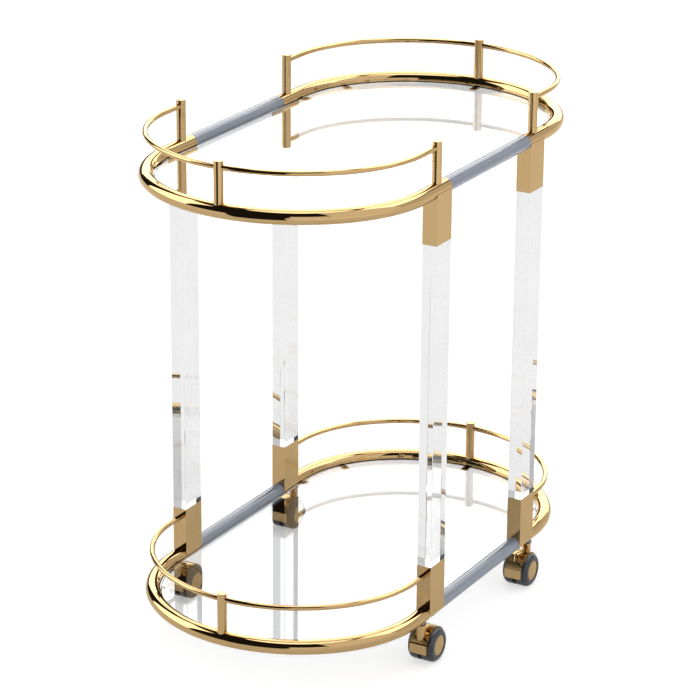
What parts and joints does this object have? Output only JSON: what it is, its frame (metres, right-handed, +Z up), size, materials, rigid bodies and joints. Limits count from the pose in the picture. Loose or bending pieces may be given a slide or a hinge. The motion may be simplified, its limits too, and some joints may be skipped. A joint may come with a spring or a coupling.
{
  "type": "bar cart",
  "caption": "Two-tier racetrack bar cart with polished gold tube ends, clear legs and side rods, glass shelves, gallery rails and hooded swivel casters.",
  "frame": {"origin": "on the floor, under the centre of the cart", "axes": "+X along the cart's long side, +Y across it, +Z up"},
  "size_m": [0.904, 0.528, 0.903],
  "materials": {
    "polished_gold": "mirror-polished gold plating",
    "tinted_rod": "blue-grey tinted acrylic, polished",
    "clear_leg": "water-clear acrylic, flame polished",
    "shelf_glass": "clear tempered float glass with polished edges",
    "wheel_tread": "dark slate nylon wheels, fine moulded sheen",
    "bright_steel": "zinc-plated steel",
    "dark_collar": "black moulded nylon",
    "clear_pad": "clear silicone"
  },
  "bodies": {
    "frame": {"caster_collars": "dark_collar", "caster_inserts": "bright_steel", "caster_stem_left_back": "bright_steel", "caster_stem_left_front": "bright_steel", "caster_stem_right_back": "bright_steel", "caster_stem_right_front": "bright_steel", "leg_left_back": "clear_leg", "leg_left_front": "clear_leg", "leg_right_back": "clear_leg", "leg_right_front": "clear_leg", "leg_screws": "bright_steel", "leg_studs": "bright_steel", "lower_glass_shelf": "shelf_glass", "lower_post_left_middle": "polished_gold", "lower_post_right_middle": "polished_gold", "lower_rail_left": "polished_gold", "lower_rail_right": "polished_gold", "lower_ring_left": "polished_gold", "lower_ring_right": "polished_gold", "lower_rod_back": "tinted_rod", "lower_rod_front": "tinted_rod", "lower_socket_left_back": "polished_gold", "lower_socket_left_front": "polished_gold", "lower_socket_right_back": "polished_gold", "lower_socket_right_front": "polished_gold", "shelf_pads": "clear_pad", "shelf_tabs": "polished_gold", "upper_glass_shelf": "shelf_glass", "upper_post_left_back": "polished_gold", "upper_post_left_front": "polished_gold", "upper_post_left_middle": "polished_gold", "upper_post_right_back": "polished_gold", "upper_post_right_front": "polished_gold", "upper_post_right_middle": "polished_gold", "upper_rail_left": "polished_gold", "upper_rail_right": "polished_gold", "upper_ring_left": "polished_gold", "upper_ring_right": "polished_gold", "upper_rod_back": "tinted_rod", "upper_rod_front": "tinted_rod", "upper_socket_left_back": "polished_gold", "upper_socket_left_front": "polished_gold", "upper_socket_right_back": "polished_gold", "upper_socket_right_front": "polished_gold"},
    "swivel_left_front": {"caster_hood_left_front": "polished_gold"},
    "wheelset_left_front": {"caster_wheels_left_front": "wheel_tread", "caster_caps_left_front": "polished_gold", "caster_axle_left_front": "bright_steel"},
    "swivel_left_back": {"caster_hood_left_back": "polished_gold"},
    "wheelset_left_back": {"caster_wheels_left_back": "wheel_tread", "caster_caps_left_back": "polished_gold", "caster_axle_left_back": "bright_steel"},
    "swivel_right_front": {"caster_hood_right_front": "polished_gold"},
    "wheelset_right_front": {"caster_wheels_right_front": "wheel_tread", "caster_caps_right_front": "polished_gold", "caster_axle_right_front": "bright_steel"},
    "swivel_right_back": {"caster_hood_right_back": "polished_gold"},
    "wheelset_right_back": {"caster_wheels_right_back": "wheel_tread", "caster_caps_right_back": "polished_gold", "caster_axle_right_back": "bright_steel"}
  },
  "joints": [
    {"name": "swivel_left_front", "type": "hinge", "parent": "frame", "child": "swivel_left_front", "pos_m": [-0.197, -0.24, 0.0721], "axis": [0, 0, 1], "continuous": true},
    {"name": "roll_left_front", "type": "hinge", "parent": "swivel_left_front", "child": "wheelset_left_front", "pos_m": [-0.176, -0.24, 0.03], "axis": [0, 1, 0], "continuous": true},
    {"name": "swivel_left_back", "type": "hinge", "parent": "frame", "child": "swivel_left_back", "pos_m": [-0.197, 0.24, 0.0721], "axis": [0, 0, 1], "continuous": true},
    {"name": "roll_left_back", "type": "hinge", "parent": "swivel_left_back", "child": "wheelset_left_back", "pos_m": [-0.176, 0.24, 0.03], "axis": [0, 1, 0], "continuous": true},
    {"name": "swivel_right_front", "type": "hinge", "parent": "frame", "child": "swivel_right_front", "pos_m": [0.197, -0.24, 0.0721], "axis": [0, 0, 1], "continuous": true},
    {"name": "roll_right_front", "type": "hinge", "parent": "swivel_right_front", "child": "wheelset_right_front", "pos_m": [0.176, -0.24, 0.03], "axis": [0, 1, 0], "continuous": true},
    {"name": "swivel_right_back", "type": "hinge", "parent": "frame", "child": "swivel_right_back", "pos_m": [0.197, 0.24, 0.0721], "axis": [0, 0, 1], "continuous": true},
    {"name": "roll_right_back", "type": "hinge", "parent": "swivel_right_back", "child": "wheelset_right_back", "pos_m": [0.176, 0.24, 0.03], "axis": [0, 1, 0], "continuous": true}
  ]
}
